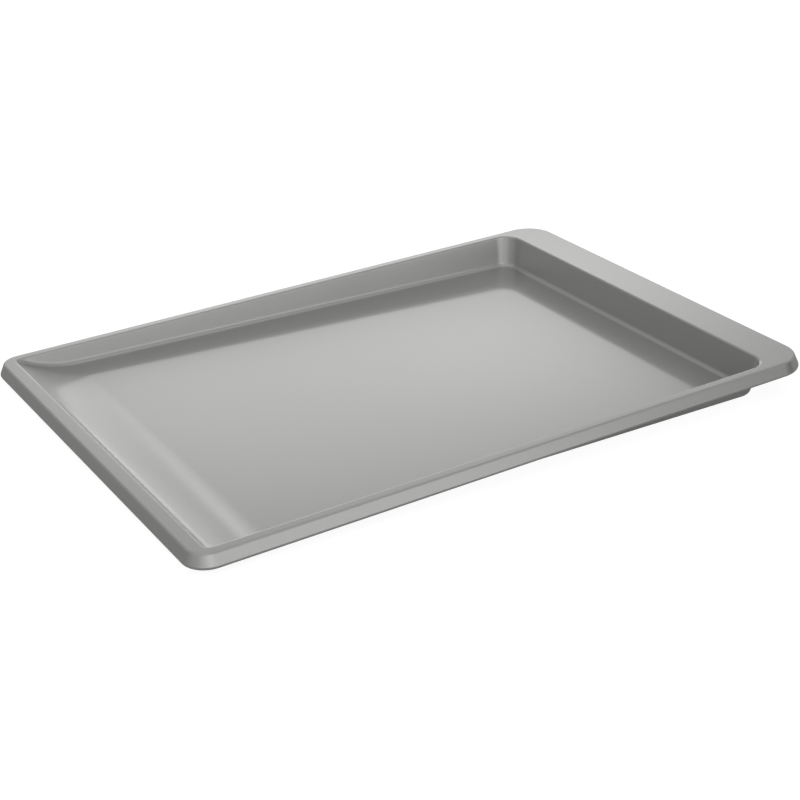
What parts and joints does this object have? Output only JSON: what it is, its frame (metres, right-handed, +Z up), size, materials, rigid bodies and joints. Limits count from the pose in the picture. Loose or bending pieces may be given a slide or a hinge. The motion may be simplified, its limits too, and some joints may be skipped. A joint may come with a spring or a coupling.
{
  "type": "cookie sheet",
  "caption": "Shallow pressed-steel baking sheet with three low walls, a ramp on one short side to slide food off, a wide flange to hold on the other, and a wired rim.",
  "frame": {"origin": "centre of the bounding box in plan, on the underside of the level floor, which is the sheet's lowest face", "axes": "+X from the ramp's lip to the wide flange, along the sheet's length; +Y across its width; +Z up, square to the baking surface"},
  "size_m": [0.5058, 0.353, 0.0272],
  "materials": {
    "tray_coat": "satin silver-grey release coat on pressed steel",
    "wire_steel": "bright drawn steel wire"
  },
  "bodies": {
    "root": {"tray": "tray_coat", "rim_wire": "wire_steel"}
  },
  "joints": []
}
